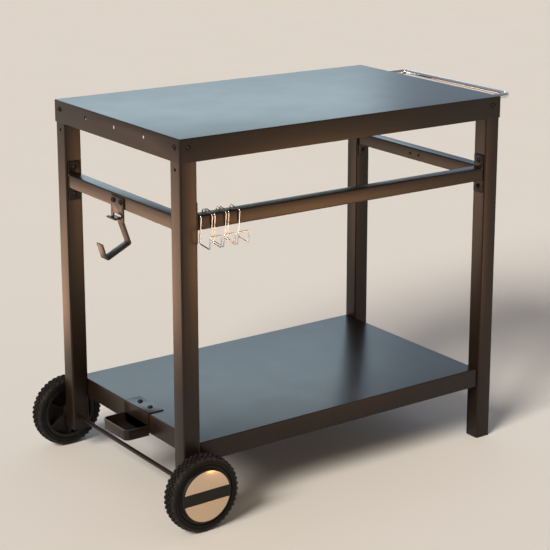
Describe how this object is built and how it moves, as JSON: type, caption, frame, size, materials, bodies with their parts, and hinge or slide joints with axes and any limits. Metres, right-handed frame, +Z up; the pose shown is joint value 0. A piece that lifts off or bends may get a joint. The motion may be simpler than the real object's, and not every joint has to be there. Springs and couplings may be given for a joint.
{
  "type": "grill cart",
  "caption": "Sheet steel cart for a table-top grill: flat top on square legs, lower shelf, wheels at one end, side handle, hooks and a small tray.",
  "frame": {"origin": "on the floor, under the middle of the whole cart with its handle", "axes": "+X along the cart from the wheels to the handle, +Y from the front rail to the open back, +Z up"},
  "size_m": [1.0236, 0.639, 0.836],
  "materials": {
    "black_coat": "satin black powder coat with a fine texture, over steel",
    "chrome": "bright chrome plating",
    "bright_trim": "thin polished plate",
    "zinc": "bright zinc plating",
    "tyre_rubber": "matt black moulded rubber",
    "black_plastic": "fine grained black moulding",
    "nylon": "natural nylon"
  },
  "bodies": {
    "cart": {"axle": "black_coat", "axle_nut_front": "zinc", "axle_nut_rear": "zinc", "axle_washer_front": "zinc", "axle_washer_rear": "zinc", "foot_front_left": "black_plastic", "foot_front_right": "black_plastic", "foot_rear_left": "black_plastic", "foot_rear_right": "black_plastic", "handle_bolt_front": "zinc", "handle_bolt_rear": "zinc", "handle_rosette_front": "chrome", "handle_rosette_rear": "chrome", "hook_plate_bolt_front": "black_coat", "hook_plate_bolt_rear": "black_coat", "hook_plate_nut_front": "zinc", "hook_plate_nut_rear": "zinc", "leg_front_left": "black_coat", "leg_front_right": "black_coat", "leg_rear_left": "black_coat", "leg_rear_right": "black_coat", "rail_front": "black_coat", "rail_left": "black_coat", "rail_right": "black_coat", "shelf": "black_coat", "shelf_stiffener_left": "black_coat", "shelf_stiffener_right": "black_coat", "side_handle": "chrome", "tabletop": "black_coat", "tank_hook_plate": "black_coat", "tank_tray": "black_coat", "top_stiffener_left": "black_coat", "top_stiffener_right": "black_coat", "tray_bolt_front": "black_coat", "tray_bolt_rear": "black_coat", "tray_nut_front": "zinc", "tray_nut_rear": "zinc"},
    "tank_hook": {"tank_hook": "black_coat"},
    "wheel_front": {"cap_plate_front_lower": "bright_trim", "cap_plate_front_upper": "bright_trim", "rim_front": "black_plastic", "tyre_front": "tyre_rubber", "wheel_bush_front": "nylon", "wheel_cap_front": "black_plastic"},
    "wheel_rear": {"cap_plate_rear_lower": "bright_trim", "cap_plate_rear_upper": "bright_trim", "rim_rear": "black_plastic", "tyre_rear": "tyre_rubber", "wheel_bush_rear": "nylon", "wheel_cap_rear": "black_plastic"},
    "wire_hook_1": {"wire_hook_1": "chrome"},
    "wire_hook_2": {"wire_hook_2": "chrome"},
    "wire_hook_3": {"wire_hook_3": "chrome"}
  },
  "joints": [
    {"name": "wheel_front_spin", "type": "hinge", "parent": "cart", "child": "wheel_front", "pos_m": [-0.42778, -0.296, 0.084], "axis": [0, 1, 0], "continuous": true},
    {"name": "wheel_rear_spin", "type": "hinge", "parent": "cart", "child": "wheel_rear", "pos_m": [-0.42778, 0.296, 0.084], "axis": [0, 1, 0], "continuous": true},
    {"name": "tank_hook_swing", "type": "hinge", "parent": "cart", "child": "tank_hook", "pos_m": [-0.44433, 0, 0.6197], "axis": [0, 1, 0], "range_deg": [-24, 16]},
    {"name": "wire_hook_1_slide", "type": "slide", "parent": "cart", "child": "wire_hook_1", "axis": [1, 0, 0], "range_m": [-0.0025, 0.0017]},
    {"name": "wire_hook_2_slide", "type": "slide", "parent": "cart", "child": "wire_hook_2", "axis": [1, 0, 0], "range_m": [-0.0017, 0.0017]},
    {"name": "wire_hook_3_slide", "type": "slide", "parent": "cart", "child": "wire_hook_3", "axis": [1, 0, 0], "range_m": [-0.0017, 0.67]}
  ]
}
